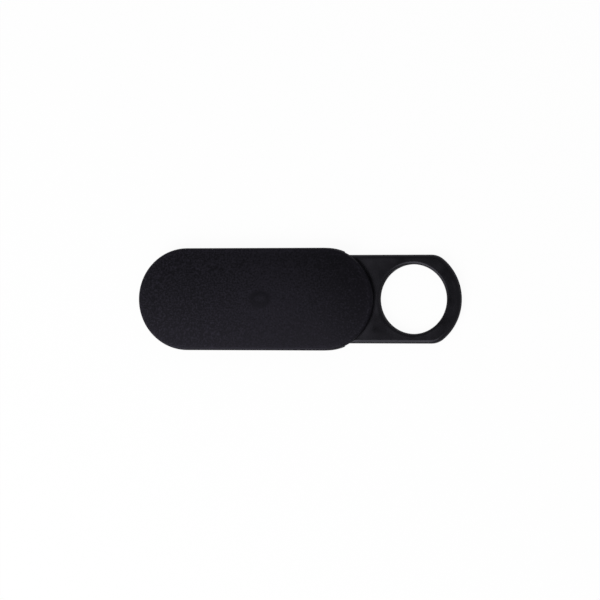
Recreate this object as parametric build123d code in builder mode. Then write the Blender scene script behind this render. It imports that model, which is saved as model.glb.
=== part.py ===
from build123d import *
from math import sqrt
import os

# Webcam cover slider, drawn open. A moulded base plate with a lens hole sticks to a screen frame by a foam
# pad. A moulded cover runs along the base on two hooked rails, until the boss under it meets the end of its
# groove. Millimetres. The origin is on the lens hole's axis, in the plane of the adhesive face. +X runs along
# the slide, from the cover to the lens hole, and +Z points away from the screen.

# Lens hole and base plate
lens_hole_diameter = 11.27
lens_rim_round = 0.5
lens_side_wall = 1.565  # from the lens hole to each long edge of the base
flange_thickness = 0.75  # the upper part of the base, which the rails hook under
foot_height = 0.3  # the narrower lower part of the base
base_end_inset = 0.3  # how far the closed cover stands out past each end of the base
base_corner_round = 3.1
base_edge_round = 0.6
foot_edge_round = 0.12

# Cover
roof_thickness = 1.3  # along the spine of the crowned face
crown_height = 0.5  # fall of the face from its spine to its edge
cover_edge_round = 0.5
rail_wall = 1.07
rail_tip_wall = 0.45  # where the rails thin out along the cover's end arcs
rail_end_round = 0.18
rail_foot_chamfer = 0.1
lip_reach = 0.45
lip_thickness = 0.35

# Running clearances
slide_gap = 0.1  # above and below the flange, and under the boss
side_gap = 0.1  # beside the flange, and between the lips and the foot

# Stop boss, its groove in the base, and the faint push mark on the cover's face
boss_length = 3.5
boss_width = 2.8
boss_height = 0.5
boss_chamfer = 0.15
stop_gap = 0.1
groove_side_gap = 0.15
groove_end_wall = 3.07  # from the groove to the end of the base
mark_length = 3.7
mark_width = 2.86
mark_flank = 0.7  # width of the slope round the mark
mark_height = 0.02
mark_sink = 0.005  # how deep the foot of the mark is sunk in the crowned face
mark_offset = 1.15  # from the middle of the cover, towards the lens hole

# Open position
open_margin = 0.89  # from the open cover's end to the lens hole

# Adhesive pad
pad_thickness = 0.4
pad_inset = 0.5  # from the edge of the base's foot
pad_lens_clearance = 0.8
pad_horn_width = 1.1  # of the foam at each side of the lens hole
pad_corner_round = 0.42

# Widths, from the lens hole outwards
lens_radius = lens_hole_diameter / 2
base_width = lens_hole_diameter + 2 * lens_side_wall
channel_width = base_width + 2 * side_gap
mouth_width = channel_width - 2 * lip_reach
foot_width = mouth_width - 2 * side_gap
foot_inset = (base_width - foot_width) / 2
cover_width = channel_width + 2 * rail_wall
pad_edge = foot_inset + pad_inset
pad_width = foot_width - 2 * pad_inset

# Lengths along the slide. The groove runs from the middle of the base towards its far end.
travel = cover_width / 2 + lens_radius + open_margin
half_groove_wall = travel + boss_length / 2 + stop_gap + groove_end_wall
cover_length = 2 * (half_groove_wall + base_end_inset)
end_spacing = cover_length - cover_width  # between the centres of the two end arcs
base_length = cover_length - 2 * base_end_inset
base_centre = -end_spacing / 2
cover_centre = base_centre - travel
groove_length = travel + boss_length + 2 * stop_gap
rail_length = end_spacing + 2 * sqrt((cover_width / 2) ** 2 - (channel_width / 2 + rail_tip_wall) ** 2)
pad_lens_radius = lens_radius + pad_lens_clearance
pad_end = -sqrt(pad_lens_radius ** 2 - (pad_width / 2 - pad_horn_width) ** 2)

# Heights
base_thickness = foot_height + flange_thickness
base_top = pad_thickness + base_thickness
flange_bottom = pad_thickness + foot_height
lip_top = flange_bottom - slide_gap
cover_bottom = lip_top - lip_thickness
roof_bottom = base_top + slide_gap
roof_top = roof_bottom + roof_thickness
roof_shoulder = roof_top - crown_height
crown_radius = ((cover_width / 2) ** 2 + crown_height ** 2) / (2 * crown_height)
mark_foot = roof_top - crown_radius + sqrt(crown_radius ** 2 - (mark_width / 2) ** 2) - mark_sink

# Roundings, limited by the walls that they are on
wall_share = 0.8
edge_share = 0.4
cover_edge = min(cover_edge_round, wall_share * (roof_thickness - crown_height))
base_edge = min(base_edge_round, wall_share * flange_thickness)
lens_rim = min(lens_rim_round, edge_share * lens_side_wall)
foot_edge = min(foot_edge_round, edge_share * foot_height)
rail_end = min(rail_end_round, edge_share * rail_tip_wall)
rail_foot = min(rail_foot_chamfer, edge_share * lip_thickness)
boss_edge = min(boss_chamfer, edge_share * boss_height)
pad_corner = min(pad_corner_round, edge_share * pad_horn_width)
mark_slope = min(mark_flank, edge_share * mark_width)

with BuildPart() as base_plate:
    # The ends follow the cover's end arcs, and straight long edges cut them narrower than the cover.
    with BuildSketch(Plane.XY.offset(pad_thickness)) as base_outline:
        with Locations((base_centre, 0)):
            SlotOverall(base_length, cover_width)
            Rectangle(base_length, base_width, mode=Mode.INTERSECT)
        fillet(base_outline.vertices(), base_corner_round)
    extrude(amount=base_thickness)
    fillet(faces().sort_by(Axis.Z)[-1].edges(), base_edge)

    # A rebate under the edge leaves a flange, which the rails hook along its two long sides.
    with BuildSketch(Plane.XY.offset(pad_thickness)):
        add(base_outline.sketch_local)
        offset(amount=-foot_inset, mode=Mode.SUBTRACT)
    extrude(amount=foot_height, mode=Mode.SUBTRACT)
    fillet(faces().sort_by(Axis.Z)[0].edges(), foot_edge)

    Hole(lens_radius)
    fillet(faces().sort_by(Axis.Z)[-1].inner_wires().edges(), lens_rim)

    # The stop groove is as long as the travel and the boss together.
    with BuildSketch(Plane.XY.offset(base_top)):
        with Locations((base_centre - travel / 2, 0)):
            SlotOverall(groove_length, boss_width + 2 * groove_side_gap)
    extrude(amount=-boss_height, mode=Mode.SUBTRACT)

with BuildPart() as slide_cover:
    # The roof has one crowned section, which runs straight between the end arcs and turns round them.
    with BuildSketch(Plane.YZ.offset(cover_centre)) as roof_section:
        with BuildLine():
            ThreePointArc((-cover_width / 2, roof_shoulder), (0, roof_top), (cover_width / 2, roof_shoulder))
            Line((cover_width / 2, roof_shoulder), (cover_width / 2, roof_bottom))
            Line((cover_width / 2, roof_bottom), (-cover_width / 2, roof_bottom))
            Line((-cover_width / 2, roof_bottom), (-cover_width / 2, roof_shoulder))
        make_face()
        fillet(roof_section.vertices().group_by(Axis.Y)[-1], cover_edge)
    extrude(amount=end_spacing / 2, both=True)
    for end, turn in ((cover_centre - end_spacing / 2, 180), (cover_centre + end_spacing / 2, -180)):
        with BuildSketch(Plane.YZ.offset(end)):
            add(roof_section.sketch_local)
            Rectangle(cover_width, roof_top, align=(Align.MIN, Align.MIN), mode=Mode.INTERSECT)
        revolve(axis=Axis((end, 0, 0), (0, 0, 1)), revolution_arc=turn)

    # The rails follow the cover's outline until they thin out on its end arcs, with a lip along their feet.
    for between, bottom, top in ((channel_width, lip_top, roof_bottom), (mouth_width, cover_bottom, lip_top)):
        with BuildSketch(Plane.XY.offset(bottom)) as rails:
            with Locations((cover_centre, 0)):
                SlotOverall(cover_length, cover_width)
                Rectangle(rail_length, cover_width, mode=Mode.INTERSECT)
                Rectangle(cover_length, between, mode=Mode.SUBTRACT)
            rail_corners = rails.vertices().group_by(Axis.X)
            fillet(rail_corners[0] + rail_corners[-1], rail_end)
        extrude(amount=top - bottom)
    chamfer(faces().group_by(Axis.Z)[0].edges(), rail_foot)

    with BuildSketch(Plane.XY.offset(roof_bottom)):
        with Locations((cover_centre, 0)):
            SlotOverall(boss_length, boss_width)
    extrude(amount=-boss_height)
    chamfer(faces(Select.LAST).sort_by(Axis.Z)[0].edges(), boss_edge)

    # The push mark is a low oval rise with sloping flanks.
    with BuildSketch(Plane.XY.offset(mark_foot)):
        with Locations((cover_centre + mark_offset, 0)):
            SlotOverall(mark_length, mark_width)
    with BuildSketch(Plane.XY.offset(roof_top + mark_height)):
        with Locations((cover_centre + mark_offset, 0)):
            SlotOverall(mark_length - 2 * mark_slope, mark_width - 2 * mark_slope)
    loft(ruled=True)

with BuildPart() as adhesive_pad:
    # A concave end keeps the foam clear of the lens hole.
    with BuildSketch(Plane.XY) as pad_outline:
        with Locations((base_centre, 0)):
            SlotOverall(base_length - 2 * pad_edge, cover_width - 2 * pad_edge)
            Rectangle(base_length, pad_width, mode=Mode.INTERSECT)
        with Locations((pad_end, 0)):
            Rectangle(base_length, cover_width, align=(Align.MIN, Align.CENTER), mode=Mode.SUBTRACT)
        Circle(pad_lens_radius, mode=Mode.SUBTRACT)
        fillet(pad_outline.vertices(), pad_corner)
    extrude(amount=pad_thickness)

base_plate.part.label = "base_plate"
slide_cover.part.label = "slide_cover"
adhesive_pad.part.label = "adhesive_pad"

os.makedirs("parts", exist_ok=True)
export_step(base_plate.part, "parts/base_plate.step")
export_step(slide_cover.part, "parts/slide_cover.step")
export_step(adhesive_pad.part, "parts/adhesive_pad.step")
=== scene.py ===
"""Webcam cover slider: plastic finishes, a foam pad and a white studio, laid out as a Blender add-on."""
import math

import bmesh
import bpy
from mathutils import Matrix, Vector


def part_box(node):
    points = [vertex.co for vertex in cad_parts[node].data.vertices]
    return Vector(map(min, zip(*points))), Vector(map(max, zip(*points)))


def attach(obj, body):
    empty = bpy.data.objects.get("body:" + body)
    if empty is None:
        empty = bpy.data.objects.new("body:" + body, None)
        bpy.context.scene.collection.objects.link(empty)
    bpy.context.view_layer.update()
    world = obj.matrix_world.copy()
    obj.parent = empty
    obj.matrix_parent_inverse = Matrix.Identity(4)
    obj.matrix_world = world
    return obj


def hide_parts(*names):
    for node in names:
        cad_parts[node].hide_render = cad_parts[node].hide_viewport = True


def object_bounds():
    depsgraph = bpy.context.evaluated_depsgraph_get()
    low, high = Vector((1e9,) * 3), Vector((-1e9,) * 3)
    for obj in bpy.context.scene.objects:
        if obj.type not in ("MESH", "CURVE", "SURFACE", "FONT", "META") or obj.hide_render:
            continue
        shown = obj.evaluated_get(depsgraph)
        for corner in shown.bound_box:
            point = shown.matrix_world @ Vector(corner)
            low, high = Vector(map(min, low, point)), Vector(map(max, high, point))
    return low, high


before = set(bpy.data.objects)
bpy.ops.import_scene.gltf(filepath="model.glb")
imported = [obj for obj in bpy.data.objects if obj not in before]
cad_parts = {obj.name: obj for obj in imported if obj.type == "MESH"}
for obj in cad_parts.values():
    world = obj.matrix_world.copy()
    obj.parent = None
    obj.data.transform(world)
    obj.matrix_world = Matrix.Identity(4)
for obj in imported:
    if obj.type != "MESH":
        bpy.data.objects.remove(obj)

bl_info = {
    "name": "Webcam cover slider",
    "version": (1, 0, 0),
    "blender": (4, 5, 0),
    "location": "View3D > Sidebar > Slider",
    "description": "Finishes of a stick-on webcam cover, its foam pad and a white studio",
    "category": "Object",
}

MM = 0.001
CAD_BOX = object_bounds()
PART_MIDDLE = (CAD_BOX[0] + CAD_BOX[1]) / 2
COVER_LOW, COVER_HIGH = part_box("slide_cover")
BASE_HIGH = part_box("base_plate")[1]
PAD_LOW, PAD_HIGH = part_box("adhesive_pad")
COVER_MIDDLE = (COVER_LOW + COVER_HIGH) / 2
COVER_END_RADIUS = (COVER_HIGH.y - COVER_LOW.y) / 2
COVER_END_CENTRE = COVER_HIGH.x - COVER_END_RADIUS
UP = Vector((0, 0, 1))
PICTURE_UP = Vector((0, 1, 0))  # the direction that points up in the picture
WHITE = (1, 1, 1, 1)
MEAN = 0.5  # of a noise
NOISE_DETAIL = 1.0  # finer layers that a noise has over its first
NOISE_FALL = 0.5  # strength of a finer layer against the one before
MIX_FIRST = 6  # socket of a Mix node for the first colour
MIX_SECOND = 7  # socket of a Mix node for the second colour
MIX_RESULT = 2  # socket of a Mix node for the mixed colour
WALL_STEEP = 0.25  # upward share of a normal, at and below which a surface counts as a side wall
WALL_SLOPED = 0.65  # upward share of a normal, from which a surface counts as a face
MERGE_DISTANCE = 0.001 * MM  # within which corners of triangles are one point
OUTLINE_FACES = 1.5  # an edge with fewer faces than this lies on an outline
FLATTEN = (1, 1, 0)  # takes the height out of a direction
SHARP_ANGLE = math.radians(50)  # between two faces of the pad, from which their edge is sharp
DOWNWARD = -0.5  # a face that points further down than this is the pad's adhesive face
TENT_WALL = 0.80  # cosine of the angle from the opening's middle, at and below which the tent is plain wall
TENT_OPENING = 0.985  # cosine of the angle within which the tent's opening is at its darkest
FLOOR_GAP = 0.01 * MM  # keeps the floor out of the plane of the adhesive face
CAMERA_NEAR = 0.01  # what lies nearer to the camera isn't drawn
CAMERA_FAR = 20  # what lies further from the camera isn't drawn


class CoverFinish(bpy.types.PropertyGroup):
    """Grained black plastic, dull round the push mark, its grain fainter where worn in the middle, with
    painted light along the spine, a painted highlight along the edge and painted shade at the lens end.
    """

    colour: bpy.props.FloatVectorProperty(
        name="Colour", description="Colour of the plastic", subtype="COLOR",
        default=(0.0027, 0.0024, 0.0036), min=0, max=1)
    roughness: bpy.props.FloatProperty(
        name="Roughness", description="Mean roughness of the grain", subtype="FACTOR",
        default=0.55, min=0, max=1)
    specular: bpy.props.FloatProperty(
        name="Specular", description="Strength of the surface reflection", subtype="FACTOR",
        default=0.18, min=0, max=1)
    specular_tint: bpy.props.FloatVectorProperty(
        name="Specular tint", description="Colour of the surface reflection", subtype="COLOR",
        default=(0.82, 0.775, 1.0), min=0, max=1)
    wall_roughness: bpy.props.FloatProperty(
        name="Wall roughness", description="How much rougher the side walls are", subtype="FACTOR",
        default=0.30, min=0, max=1)
    wall_fade: bpy.props.FloatProperty(
        name="Wall fade", description="How much fainter the grain is on the side walls", subtype="FACTOR",
        default=0.75, min=0, max=1)
    # Painted highlight: the colour is lighter in a band along the rounded edge, where light catches it.
    edge_width: bpy.props.FloatProperty(
        name="Edge width", description="How far in the rubbed edge reaches", unit="LENGTH",
        default=1.2 * MM, min=0.1 * MM)
    painted_edge_highlight: bpy.props.FloatProperty(
        name="Edge shade", description="How much lighter the rubbed edge is", default=1.3, min=0)
    # Painted shade: the end towards the lens hole is coloured darker; it is also made smoother.
    end_gloss: bpy.props.FloatProperty(
        name="End gloss", description="How much smoother the end towards the lens hole is", subtype="FACTOR",
        default=0.06, min=0, max=1)
    painted_end_shade: bpy.props.FloatProperty(
        name="End shade", description="How much darker the end towards the lens hole is",
        default=1.7, min=0)
    end_width: bpy.props.FloatProperty(
        name="End width", description="How far the darker, smoother end reaches", unit="LENGTH",
        default=19 * MM, min=0.1 * MM)
    grain_size: bpy.props.FloatProperty(
        name="Grain size", description="Width of one grain", unit="LENGTH", default=0.31 * MM, min=0.01 * MM)
    grain_depth: bpy.props.FloatProperty(
        name="Grain depth", description="Height of the grain", unit="LENGTH", default=0.016 * MM, min=0)
    grain_contrast: bpy.props.FloatProperty(
        name="Grain contrast", description="How much the grain changes the colour", default=20.0, min=0)
    grain_gloss: bpy.props.FloatProperty(
        name="Grain gloss", description="How much the grain changes the roughness", default=0.30, min=0)
    grain_fade: bpy.props.FloatProperty(
        name="Grain fade", description="How much fainter the grain is along the far long edge",
        subtype="FACTOR", default=0.5, min=0, max=1)
    # The wear mask fades the grain in the middle of the cover. Along the spine the same mask adds painted
    # light: the colour is made lighter there.
    worn_fade: bpy.props.FloatProperty(
        name="Worn fade", description="How much fainter the grain is where the cover is most worn",
        subtype="FACTOR", default=0.5, min=0, max=1)
    # Painted light: how much lighter the spine is coloured in the middle of the cover.
    painted_spine_light_strength: bpy.props.FloatProperty(
        name="Worn shade", description="How much lighter the cover's spine is where it is most worn",
        default=0.85, min=0)
    wear_and_light_offset: bpy.props.FloatProperty(
        name="Worn offset", description="From the middle of the cover to where it is most worn",
        unit="LENGTH", default=5.1 * MM)
    wear_and_light_reach: bpy.props.FloatProperty(
        name="Worn reach", description="How far the wear reaches to each side along the cover",
        unit="LENGTH", default=17.7 * MM, min=0.1 * MM)
    mottle_size: bpy.props.FloatProperty(
        name="Mottle size", description="Width of the cloudy patches", unit="LENGTH",
        default=2.4 * MM, min=0.1 * MM)
    mottle_contrast: bpy.props.FloatProperty(
        name="Mottle contrast", description="How much the patches change the colour", default=0.5, min=0)
    mark_offset: bpy.props.FloatProperty(
        name="Mark offset", description="From the middle of the cover to the push mark", unit="LENGTH",
        default=1.15 * MM)
    mark_length: bpy.props.FloatProperty(
        name="Mark length", description="Length of the push mark", unit="LENGTH", default=3.7 * MM, min=0)
    mark_width: bpy.props.FloatProperty(
        name="Mark width", description="Width of the push mark", unit="LENGTH", default=2.86 * MM, min=0)
    mark_flank: bpy.props.FloatProperty(
        name="Mark flank", description="Width over which the dull ring fades, inwards and outwards",
        unit="LENGTH", default=0.7 * MM, min=0)
    mark_shade: bpy.props.FloatProperty(
        name="Mark shade", description="How much darker the ring is", subtype="FACTOR",
        default=0.54, min=0, max=1)
    mark_roughness: bpy.props.FloatProperty(
        name="Mark roughness", description="How much rougher the ring is", subtype="FACTOR",
        default=0.12, min=0, max=1)


class BaseFinish(bpy.types.PropertyGroup):
    """Black plastic from a satin mould, smoother towards its free end, and rougher with painted light beside
    the open cover.
    """

    colour: bpy.props.FloatVectorProperty(
        name="Colour", description="Colour of the plastic", subtype="COLOR",
        default=(0.0026, 0.0025, 0.0032), min=0, max=1)
    roughness: bpy.props.FloatProperty(
        name="Roughness", description="Mean roughness of the satin", subtype="FACTOR",
        default=0.37, min=0, max=1)
    specular: bpy.props.FloatProperty(
        name="Specular", description="Strength of the surface reflection", subtype="FACTOR",
        default=0.27, min=0, max=1)
    specular_tint: bpy.props.FloatVectorProperty(
        name="Specular tint", description="Colour of the surface reflection", subtype="COLOR",
        default=(0.87, 0.84, 1.0), min=0, max=1)
    wall_roughness: bpy.props.FloatProperty(
        name="Wall roughness", description="How much rougher the side walls are", subtype="FACTOR",
        default=0.45, min=0, max=1)
    end_gloss: bpy.props.FloatProperty(
        name="End gloss", description="How much smoother the free end is", subtype="FACTOR",
        default=0.045, min=0, max=1)
    # Beside the open cover the base is rougher, and its colour is lighter as painted light.
    haze_and_light_width: bpy.props.FloatProperty(
        name="Haze width", description="Width of the haze beside the open cover", unit="LENGTH",
        default=2.6 * MM, min=0.1 * MM)
    painted_haze_light: bpy.props.FloatProperty(
        name="Haze shade", description="How much lighter the haze is", default=2.0, min=0)
    haze_gloss: bpy.props.FloatProperty(
        name="Haze gloss", description="How much rougher the haze is", default=0.06, min=0)
    ripple_size: bpy.props.FloatProperty(
        name="Ripple size", description="Width of the soft flow ripples", unit="LENGTH",
        default=2.6 * MM, min=0.1 * MM)
    ripple_shift: bpy.props.FloatVectorProperty(
        name="Ripple shift", description="Place in the noise that the ripples are taken from",
        subtype="TRANSLATION", default=(180 * MM, 149 * MM, 195 * MM))
    ripple_depth: bpy.props.FloatProperty(
        name="Ripple depth", description="Height of the flow ripples", unit="LENGTH",
        default=0.010 * MM, min=0)
    ripple_contrast: bpy.props.FloatProperty(
        name="Ripple contrast", description="How much the ripples change the colour", default=1.2, min=0)
    ripple_gloss: bpy.props.FloatProperty(
        name="Ripple gloss", description="How much the ripples change the roughness", default=0.30, min=0)
    satin_size: bpy.props.FloatProperty(
        name="Satin size", description="Width of the satin's own fine grain", unit="LENGTH",
        default=0.20 * MM, min=0.01 * MM)
    satin_depth: bpy.props.FloatProperty(
        name="Satin depth", description="Height of the satin's fine grain", unit="LENGTH",
        default=0.004 * MM, min=0)
    satin_gloss: bpy.props.FloatProperty(
        name="Satin gloss", description="How much the fine grain changes the roughness", default=0.10, min=0)


class PadFinish(bpy.types.PropertyGroup):
    """Die-cut foam pad with a tacky face."""

    colour: bpy.props.FloatVectorProperty(
        name="Colour", description="Colour of the foam", subtype="COLOR",
        default=(0.30, 0.30, 0.29), min=0, max=1)
    roughness: bpy.props.FloatProperty(
        name="Roughness", description="Roughness of the tacky face", subtype="FACTOR",
        default=0.45, min=0, max=1)
    cell_size: bpy.props.FloatProperty(
        name="Cell size", description="Width of one foam cell", unit="LENGTH",
        default=0.22 * MM, min=0.02 * MM)
    cell_depth: bpy.props.FloatProperty(
        name="Cell depth", description="How deep the open cells pit the cut edge", unit="LENGTH",
        default=0.07 * MM, min=0)
    cell_contrast: bpy.props.FloatProperty(
        name="Cell contrast", description="How much the cells change the colour", default=0.5, min=0)
    cell_gloss: bpy.props.FloatProperty(
        name="Cell gloss", description="How much the cells change the roughness", default=0.25, min=0)
    cloud_size: bpy.props.FloatProperty(
        name="Cloud size", description="Width of the uneven patches of the foam", unit="LENGTH",
        default=2.6 * MM, min=0.1 * MM)
    cloud_contrast: bpy.props.FloatProperty(
        name="Cloud contrast", description="How much the patches change the colour", default=0.3, min=0)
    bulge: bpy.props.FloatProperty(
        name="Bulge", description="How far the cut edge stands out between the two faces", unit="LENGTH",
        default=0.06 * MM, min=0)
    wall_step: bpy.props.FloatProperty(
        name="Wall step", description="Mesh spacing along the cut edge", unit="LENGTH",
        default=0.08 * MM, min=0.02 * MM)
    wall_rows: bpy.props.IntProperty(
        name="Wall rows", description="Mesh rows up the cut edge", default=6, min=1, max=12)


class StudioSettings(bpy.types.PropertyGroup):
    """White floor, one soft lamp in a light tent, and the photograph's camera."""

    camera_tilt: bpy.props.FloatProperty(
        name="Camera tilt", description="Tilt from straight down towards the lens hole's end",
        subtype="ANGLE", default=math.radians(17.38))
    camera_distance: bpy.props.FloatProperty(
        name="Camera distance", description="From the camera to the part", unit="LENGTH",
        default=0.70, min=0.1)
    camera_lens: bpy.props.FloatProperty(
        name="Focal length", description="Focal length in millimetres on a 36 mm sensor",
        default=256.87, min=10)
    camera_aim: bpy.props.FloatVectorProperty(
        name="Camera aim", description="Point in the middle of the picture", subtype="TRANSLATION",
        default=(-19.571 * MM, -0.139 * MM, -0.117 * MM))
    floor_size: bpy.props.FloatProperty(
        name="Floor size", description="Side of the white floor", unit="LENGTH", default=6.0, min=0.1)
    floor_white: bpy.props.FloatProperty(
        name="Floor white", description="Share of the floor that shows as plain white", subtype="FACTOR",
        default=0.95, min=0, max=1)
    key_place: bpy.props.FloatVectorProperty(
        name="Key place", description="Place of the large soft lamp, from the middle of the part",
        subtype="TRANSLATION", default=(-0.18, -0.235, 0.30))
    key_size: bpy.props.FloatProperty(
        name="Key size", description="Side of the large soft lamp", unit="LENGTH", default=0.36, min=0.01)
    key_power: bpy.props.FloatProperty(
        name="Key power", description="Power of the large soft lamp", subtype="POWER", default=1.55, min=0)
    tent_level: bpy.props.FloatProperty(
        name="Tent level", description="Grey level of the light tent's wall", default=0.42, min=0)
    opening_level: bpy.props.FloatProperty(
        name="Opening level", description="Grey level of the tent's dark opening", default=0.03, min=0)
    opening_tilt: bpy.props.FloatProperty(
        name="Opening tilt", description="Tilt of the opening from straight up towards the cover's end",
        subtype="ANGLE", default=math.radians(25))


class Wire:
    """One socket of a node tree. Arithmetic on wires adds Math nodes, and node() adds any other node."""

    def __init__(self, tree, socket=None):
        self.tree = tree
        self.socket = socket

    def node(self, kind, settings=None, inputs=None, output=0):
        """Adds a node, with its settings set first and then the values, or the links, of its inputs."""
        made = self.tree.nodes.new(kind)
        for key, value in (settings or {}).items():
            setattr(made, key, value)
        for key, value in (inputs or {}).items():
            for item in value if isinstance(value, list) else [value]:
                if isinstance(item, Wire):
                    self.tree.links.new(item.socket, made.inputs[key])
                else:
                    made.inputs[key].default_value = item
        return Wire(self.tree, made.outputs[output] if made.outputs else None)

    def other(self, output):
        """Another output of the same node."""
        return Wire(self.tree, self.socket.node.outputs[output])

    def maths(self, operation, *values):
        """A Math node on numbers and wires."""
        return self.node("ShaderNodeMath", {"operation": operation}, dict(enumerate(values)))

    def __add__(self, other):
        return self.maths("ADD", self, other)

    def __radd__(self, other):
        return self.maths("ADD", other, self)

    def __sub__(self, other):
        return self.maths("SUBTRACT", self, other)

    def __rsub__(self, other):
        return self.maths("SUBTRACT", other, self)

    def __mul__(self, other):
        return self.maths("MULTIPLY", self, other)

    def __rmul__(self, other):
        return self.maths("MULTIPLY", other, self)


def new_material(name):
    """An empty node material and a first wire of Object coordinates."""
    material = bpy.data.materials.new(name)
    material.use_nodes = True
    tree = material.node_tree
    tree.nodes.clear()
    place = Wire(tree).node("ShaderNodeTexCoord", output="Object")
    return material, place


def show(material, shader):
    """Links a shader to the material's output."""
    shader.node("ShaderNodeOutputMaterial", inputs={"Surface": shader})
    return material


def components(vector):
    """X, Y and Z of a vector."""
    x = vector.node("ShaderNodeSeparateXYZ", inputs={"Vector": vector})
    return x, x.other("Y"), x.other("Z")


def moved(place, shift):
    """Coordinates moved by a vector, in metres."""
    return place.node("ShaderNodeMapping", inputs={"Vector": place, "Location": shift})


def noise(place, size):
    """Noise from 0 to 1 whose features are about as wide as size, in metres."""
    inputs = {"Vector": place, "Scale": 1 / size, "Detail": NOISE_DETAIL, "Roughness": NOISE_FALL}
    return place.node("ShaderNodeTexNoise", {"noise_dimensions": "3D"}, inputs)


def cells(place, size):
    """Distance to the nearest of scattered points that lie about size apart, in metres."""
    return place.node("ShaderNodeTexVoronoi", {"feature": "F1"}, {"Vector": place, "Scale": 1 / size})


def rise(value, low, high):
    """A smooth step from 0 at low to 1 at high."""
    inputs = {"Value": value, "From Min": low, "From Max": high}
    return value.node("ShaderNodeMapRange", {"interpolation_type": "SMOOTHSTEP"}, inputs)


def walls(place):
    """Mask of the steep side walls, which the mould leaves duller than the faces."""
    upward = components(place.other("Normal"))[2]
    return 1 - rise(upward.maths("ABSOLUTE", upward), WALL_STEEP, WALL_SLOPED)


def distance(x, y):
    """Length of the flat vector x, y."""
    return x.maths("SQRT", x * x + y * y)


def shade(colour, factor):
    """A colour scaled by a wire."""
    settings = {"data_type": "RGBA", "blend_type": "MULTIPLY"}
    grey = factor.node("ShaderNodeCombineColor", inputs={"Red": factor, "Green": factor, "Blue": factor})
    inputs = {"Factor": 1.0, MIX_FIRST: (*colour, 1), MIX_SECOND: grey}
    return factor.node("ShaderNodeMix", settings, inputs, MIX_RESULT)


def bump(height, depth, below=None):
    """A normal from a height of 0 to 1 that stands for depth, in metres, over any bump below."""
    inputs = {"Height": height, "Distance": depth, "Strength": 1.0}
    if below is not None:
        inputs["Normal"] = below
    return height.node("ShaderNodeBump", inputs=inputs)


def plastic(material, finish, colour, roughness, normal):
    """Shows a plastic surface on the material."""
    inputs = {
        "Base Color": colour,
        "Roughness": roughness,
        "Normal": normal,
        "Specular IOR Level": finish.specular,
        "Specular Tint": (*finish.specular_tint, 1),
    }
    return show(material, colour.node("ShaderNodeBsdfPrincipled", inputs=inputs))


def from_spine(place, middle, half_spine):
    """Distance from the spine of an oval that lies along X, seen from above."""
    x, y, _ = components(place)
    along = x.maths("ABSOLUTE", x - middle)
    return distance(along.maths("MAXIMUM", along - half_spine, 0), y)


def mark_ring(place, finish):
    """Mask of the dull ring round the middle of the oval push mark."""
    half_spine = (finish.mark_length - finish.mark_width) / 2
    radius = from_spine(place, COVER_MIDDLE.x + finish.mark_offset, half_spine)
    outer = finish.mark_width / 2
    soft = finish.mark_flank / 2
    inside = rise(radius, 0, finish.mark_flank)
    return inside * (1 - rise(radius, outer - soft, outer + soft))


def grained_plastic(finish):
    """Cover: eroded grain over cloudy patches, changed by masks of the mark, wear, edges and end, with
    painted light on the spine, a painted highlight along the edge and painted shade at the lens end.
    """
    material, place = new_material("grained_black_plastic")
    x, y, _ = components(place)
    radius = from_spine(place, COVER_MIDDLE.x, COVER_END_CENTRE - COVER_MIDDLE.x)
    wall = walls(place)
    ring = mark_ring(place, finish)
    # Band along the rounded edge that gets a painted highlight.
    edge = rise(radius, COVER_END_RADIUS - finish.edge_width, COVER_END_RADIUS)
    # End towards the lens hole: painted shade in the colour, and a smoother finish.
    lens_end = rise(x, COVER_HIGH.x - finish.end_width, COVER_HIGH.x)
    far_side = rise(y, COVER_LOW.y, COVER_HIGH.y)
    # Wear fades the grain in the middle; along the spine the same mask carries painted light.
    from_wear_and_light = x - (COVER_MIDDLE.x + finish.wear_and_light_offset)
    worn = 1 - rise(x.maths("ABSOLUTE", from_wear_and_light), 0, finish.wear_and_light_reach)
    painted_spine_light_mask = worn * (1 - rise(radius, 0, COVER_END_RADIUS))

    grain = noise(place, finish.grain_size)
    mottle = noise(place, finish.mottle_size)
    strength = (1 - finish.wall_fade * wall) * (1 - finish.grain_fade * far_side)
    speckle = finish.grain_contrast * (grain - MEAN) * (strength * (1 - finish.worn_fade * worn))
    # Painted light lifts the spine; painted shade darkens the lens end.
    tone = 1 + finish.painted_spine_light_strength * painted_spine_light_mask - finish.painted_end_shade * lens_end
    tone = tone + finish.mottle_contrast * (mottle - MEAN) + speckle
    tone = tone.maths("MAXIMUM", tone, 0) * (1 - finish.mark_shade * ring)
    # The edge band adds a painted highlight to the colour.
    colour = shade(finish.colour, tone + finish.painted_edge_highlight * edge)
    dull = finish.wall_roughness * wall + finish.mark_roughness * ring - finish.end_gloss * lens_end
    roughness = finish.roughness + finish.grain_gloss * (grain - MEAN) + dull
    return plastic(material, finish, colour, roughness, bump(grain, finish.grain_depth))


def satin_plastic(finish):
    """Base plate: satin with soft flow ripples, smoother at the free end, and rougher with painted light
    beside the open cover.
    """
    material, place = new_material("satin_black_plastic")
    x, y, _ = components(place)
    ripple = noise(moved(place, finish.ripple_shift), finish.ripple_size)
    satin = noise(place, finish.satin_size)
    free_end = rise(x, COVER_HIGH.x, BASE_HIGH.x)
    from_cover = distance(x - COVER_END_CENTRE, y) - COVER_END_RADIUS
    # Band beside the open cover: rougher, and lighter in colour as painted light.
    haze = (1 - rise(from_cover, 0, finish.haze_and_light_width)) * ripple
    colour = shade(finish.colour, 1 + finish.ripple_contrast * (ripple - MEAN) + finish.painted_haze_light * haze)
    fine = finish.ripple_gloss * (ripple - MEAN) + finish.satin_gloss * (satin - MEAN)
    dull = finish.haze_gloss * haze + finish.wall_roughness * walls(place)
    roughness = finish.roughness + fine + dull - finish.end_gloss * free_end
    normal = bump(satin, finish.satin_depth, bump(ripple, finish.ripple_depth))
    return plastic(material, finish, colour, roughness, normal)


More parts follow.
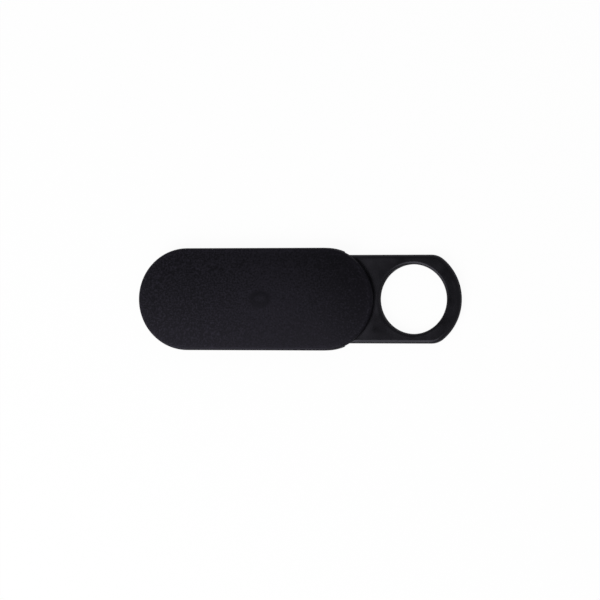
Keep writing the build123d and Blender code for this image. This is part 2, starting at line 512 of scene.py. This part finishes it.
def pad_foam(finish):
    """Pad: closed cells under a tacky skin."""
    material, place = new_material("grey_pad_foam")
    cell = cells(place, finish.cell_size)
    cloud = noise(place, finish.cloud_size)
    tone = 1 + finish.cell_contrast * (cell - MEAN) + finish.cloud_contrast * (cloud - MEAN)
    roughness = finish.roughness + finish.cell_gloss * cell
    inputs = {
        "Base Color": shade(finish.colour, tone),
        "Roughness": roughness,
        "Normal": bump(cell, finish.cell_depth),
    }
    return show(material, place.node("ShaderNodeBsdfPrincipled", inputs=inputs))


def white_paint(settings):
    """Floor: white to the camera and in reflections, with the part's own shadow left on it."""
    material, place = new_material("white_floor_paint")
    camera = place.node("ShaderNodeLightPath", output="Is Camera Ray")
    seen = camera + camera.other("Is Glossy Ray") + camera.other("Is Transmission Ray")
    paint = place.node("ShaderNodeBsdfDiffuse", inputs={"Color": WHITE})
    white = place.node("ShaderNodeEmission", inputs={"Color": WHITE, "Strength": 1.0})
    share = settings.floor_white * seen.maths("MINIMUM", seen, 1)
    return show(material, place.node("ShaderNodeMixShader", inputs={0: share, 1: paint, 2: white}))


def finish_node(name, material):
    """Gives a CAD node its finish."""
    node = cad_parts[name]
    node.data.materials.clear()
    node.data.materials.append(material)


def add_object(name, data):
    """A new object in the scene."""
    thing = bpy.data.objects.new(name, data)
    bpy.context.scene.collection.objects.link(thing)
    return thing


def merged_copy(name, node):
    """A new object with the mesh of a CAD node, its loose triangles merged."""
    mesh = bpy.data.meshes.new(name)
    shape = bmesh.new()
    shape.from_mesh(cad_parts[node].data)
    bmesh.ops.remove_doubles(shape, verts=shape.verts, dist=MERGE_DISTANCE)
    shape.to_mesh(mesh)
    shape.free()
    return add_object(name, mesh)


PAD_INPUTS = (
    ("Thickness", "NodeSocketFloat"),
    ("Wall step", "NodeSocketFloat"),
    ("Cell size", "NodeSocketFloat"),
    ("Cell depth", "NodeSocketFloat"),
    ("Bulge", "NodeSocketFloat"),
    ("Foam", "NodeSocketMaterial"),
)


def pad_tree(wall_rows):
    """Geometry Nodes: the outline of the adhesive face, raised in rows to a bulging edge of open cells."""
    tree = bpy.data.node_groups.new("die_cut_pad", "GeometryNodeTree")
    tree.interface.new_socket("Geometry", in_out="INPUT", socket_type="NodeSocketGeometry")
    for name, kind in PAD_INPUTS:
        tree.interface.new_socket(name, in_out="INPUT", socket_type=kind)
    tree.interface.new_socket("Geometry", in_out="OUTPUT", socket_type="NodeSocketGeometry")
    start = Wire(tree).node("NodeGroupInput", output="Geometry")
    thickness = start.other("Thickness")

    normal = start.node("GeometryNodeInputNormal")
    faces_down = start.maths("LESS_THAN", components(normal)[2], DOWNWARD)
    face = start.node("GeometryNodeSeparateGeometry", {"domain": "FACE"},
                      {"Geometry": start, "Selection": faces_down})
    neighbours = start.node("GeometryNodeInputMeshEdgeNeighbors")
    on_outline = start.maths("LESS_THAN", neighbours, OUTLINE_FACES)
    rim = start.node("GeometryNodeMeshToCurve", inputs={"Mesh": face, "Selection": on_outline})
    outline = start.node("GeometryNodeResampleCurve", {"mode": "LENGTH"},
                         {"Curve": rim, "Length": start.other("Wall step")})
    sheet = start.node("GeometryNodeFillCurve", {"mode": "NGONS"}, {"Curve": outline})

    step = start.node("ShaderNodeCombineXYZ", inputs={"Z": thickness * (1 / wall_rows)})
    block = sheet
    top = None
    for _ in range(wall_rows):
        inputs = {"Mesh": block, "Offset": step, "Offset Scale": 1.0, "Individual": False}
        if top is not None:
            inputs["Selection"] = top
        block = start.node("GeometryNodeExtrudeMesh", {"mode": "FACES"}, inputs)
        top = block.other("Top")
    under = start.node("GeometryNodeFlipFaces", inputs={"Mesh": sheet})
    joined = start.node("GeometryNodeJoinGeometry", inputs={"Geometry": [block, under]})
    closed = start.node("GeometryNodeMergeByDistance",
                        inputs={"Geometry": joined, "Distance": MERGE_DISTANCE})

    position = start.node("GeometryNodeInputPosition")
    from_middle = start.maths("DIVIDE", 2 * components(position)[2], thickness) - 1
    cell_scale = start.maths("DIVIDE", 1, start.other("Cell size"))
    pit = start.node("ShaderNodeTexVoronoi", {"feature": "F1"}, {"Vector": position, "Scale": cell_scale})
    inward = start.other("Bulge") * from_middle * from_middle + start.other("Cell depth") * pit
    flat = start.node("ShaderNodeVectorMath", {"operation": "MULTIPLY"}, {0: normal, 1: FLATTEN})
    outward = start.node("ShaderNodeVectorMath", {"operation": "NORMALIZE"}, {0: flat})
    shift = start.node("ShaderNodeVectorMath", {"operation": "SCALE"}, {0: outward, "Scale": 0 - inward})
    pitted = start.node("GeometryNodeSetPosition", inputs={"Geometry": closed, "Offset": shift})

    smooth = start.node("GeometryNodeSetShadeSmooth", {"domain": "FACE"},
                        {"Geometry": pitted, "Shade Smooth": True})
    angle = start.node("GeometryNodeInputMeshEdgeAngle")
    creased = start.node("GeometryNodeSetShadeSmooth", {"domain": "EDGE"},
                         {"Geometry": smooth, "Selection": start.maths("GREATER_THAN", angle, SHARP_ANGLE),
                          "Shade Smooth": False})
    solid = start.node("GeometryNodeRealizeInstances", inputs={"Geometry": creased})
    foam = start.other("Foam")
    coated = start.node("GeometryNodeSetMaterial", inputs={"Geometry": solid, "Material": foam})
    start.node("NodeGroupOutput", inputs={"Geometry": coated})
    return tree


def build_pad(finish):
    """Die-cut foam pad in place of its plain solid."""
    piece = merged_copy("foam_pad", "adhesive_pad")
    tree = pad_tree(finish.wall_rows)
    values = {
        "Thickness": PAD_HIGH.z - PAD_LOW.z,
        "Wall step": finish.wall_step,
        "Cell size": finish.cell_size,
        "Cell depth": finish.cell_depth,
        "Bulge": finish.bulge,
        "Foam": pad_foam(finish),
    }
    nodes = piece.modifiers.new("die_cut_pad", "NODES")
    nodes.node_group = tree
    for socket in tree.interface.items_tree:
        if socket.name in values:
            nodes[socket.identifier] = values[socket.name]
    evaluated = piece.evaluated_get(bpy.context.evaluated_depsgraph_get())
    baked = bpy.data.meshes.new_from_object(evaluated)
    piece.modifiers.remove(nodes)
    piece.data = baked
    return piece


def build_floor(settings):
    """A wide white floor just under the plane that the pad sticks to."""
    half = settings.floor_size / 2
    level = -FLOOR_GAP
    corners = [(-half, -half, level), (half, -half, level), (half, half, level), (-half, half, level)]
    mesh = bpy.data.meshes.new("studio_floor")
    mesh.from_pydata(corners, [], [(0, 1, 2, 3)])
    mesh.materials.append(white_paint(settings))
    add_object("studio_floor", mesh)


def aim(thing, target, up):
    """Points a lamp or camera at a target, with one direction up in its view."""
    back = (thing.location - target).normalized()
    across = up.cross(back).normalized()
    turn = Matrix((across, back.cross(across), back)).transposed()
    thing.rotation_euler = turn.to_euler()


def build_lamp(settings):
    """One large soft lamp over a corner of the cover."""
    lamp = bpy.data.lights.new("key_lamp", "AREA")
    lamp.size = settings.key_size
    lamp.energy = settings.key_power
    thing = add_object("key_lamp", lamp)
    thing.location = PART_MIDDLE + Vector(settings.key_place)
    aim(thing, PART_MIDDLE, UP)


def build_tent(context, settings):
    """A light tent all round the part, with a dark opening overhead."""
    world = bpy.data.worlds.new("studio_tent")
    world.use_nodes = True
    tree = world.node_tree
    tree.nodes.clear()
    toward = Wire(tree).node("ShaderNodeTexCoord", output="Generated")
    opening = (-math.sin(settings.opening_tilt), 0, math.cos(settings.opening_tilt))
    dot_product = {"operation": "DOT_PRODUCT"}
    near = toward.node("ShaderNodeVectorMath", dot_product, {0: toward, 1: opening}, "Value")
    fall = settings.tent_level - settings.opening_level
    level = settings.tent_level - fall * rise(near, TENT_WALL, TENT_OPENING)
    light = toward.node("ShaderNodeBackground", inputs={"Color": WHITE, "Strength": level})
    toward.node("ShaderNodeOutputWorld", inputs={"Surface": light})
    context.scene.world = world


def build_camera(context, settings):
    """The photograph's camera, which looks down on the part from the lens hole's end."""
    lens = bpy.data.cameras.new("photo_camera")
    lens.lens = settings.camera_lens
    lens.clip_start = CAMERA_NEAR
    lens.clip_end = CAMERA_FAR
    camera = add_object("photo_camera", lens)
    target = Vector(settings.camera_aim)
    tilt = settings.camera_tilt
    camera.location = target + settings.camera_distance * Vector((math.sin(tilt), 0, math.cos(tilt)))
    aim(camera, target, PICTURE_UP)
    context.scene.camera = camera


class WEBCAM_OT_cover(bpy.types.Operator):
    """Finish the cover in grained black plastic"""

    bl_idname = "webcam_slider.cover"
    bl_label = "Finish cover"

    def execute(self, context):
        finish_node("slide_cover", grained_plastic(context.scene.cover_finish))
        return {"FINISHED"}


class WEBCAM_OT_base(bpy.types.Operator):
    """Finish the base plate in satin black plastic"""

    bl_idname = "webcam_slider.base"
    bl_label = "Finish base plate"

    def execute(self, context):
        finish_node("base_plate", satin_plastic(context.scene.base_finish))
        return {"FINISHED"}


class WEBCAM_OT_pad(bpy.types.Operator):
    """Build the die-cut foam pad under the base plate"""

    bl_idname = "webcam_slider.pad"
    bl_label = "Build foam pad"

    def execute(self, context):
        pad = build_pad(context.scene.pad_finish)
        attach(pad, "base")
        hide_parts("adhesive_pad")
        return {"FINISHED"}


class WEBCAM_OT_studio(bpy.types.Operator):
    """Set up the white floor, the lamp, the light tent and the camera"""

    bl_idname = "webcam_slider.studio"
    bl_label = "Set up studio"

    def execute(self, context):
        settings = context.scene.studio_settings
        build_floor(settings)
        build_lamp(settings)
        build_tent(context, settings)
        build_camera(context, settings)
        context.scene.view_settings.view_transform = "Standard"
        return {"FINISHED"}


STEPS = (
    (WEBCAM_OT_cover, CoverFinish, "cover_finish"),
    (WEBCAM_OT_base, BaseFinish, "base_finish"),
    (WEBCAM_OT_pad, PadFinish, "pad_finish"),
    (WEBCAM_OT_studio, StudioSettings, "studio_settings"),
)


class WEBCAM_PT_slider(bpy.types.Panel):
    """Sidebar list of the slider's operators, each with its settings"""

    bl_idname = "WEBCAM_PT_slider"
    bl_label = "Webcam cover slider"
    bl_space_type = "VIEW_3D"
    bl_region_type = "UI"
    bl_category = "Slider"

    def draw(self, context):
        for operator, group, name in STEPS:
            box = self.layout.box()
            box.operator(operator.bl_idname)
            for setting in group.__annotations__:
                box.prop(getattr(context.scene, name), setting)


def register():
    for operator, group, name in STEPS:
        bpy.utils.register_class(group)
        bpy.utils.register_class(operator)
        setattr(bpy.types.Scene, name, bpy.props.PointerProperty(type=group))
    bpy.utils.register_class(WEBCAM_PT_slider)


def unregister():
    bpy.utils.unregister_class(WEBCAM_PT_slider)
    for operator, group, name in reversed(STEPS):
        delattr(bpy.types.Scene, name)
        bpy.utils.unregister_class(operator)
        bpy.utils.unregister_class(group)


def main():
    register()
    bpy.ops.webcam_slider.cover()
    bpy.ops.webcam_slider.base()
    bpy.ops.webcam_slider.pad()
    bpy.ops.webcam_slider.studio()


if __name__ == "__main__":
    main()
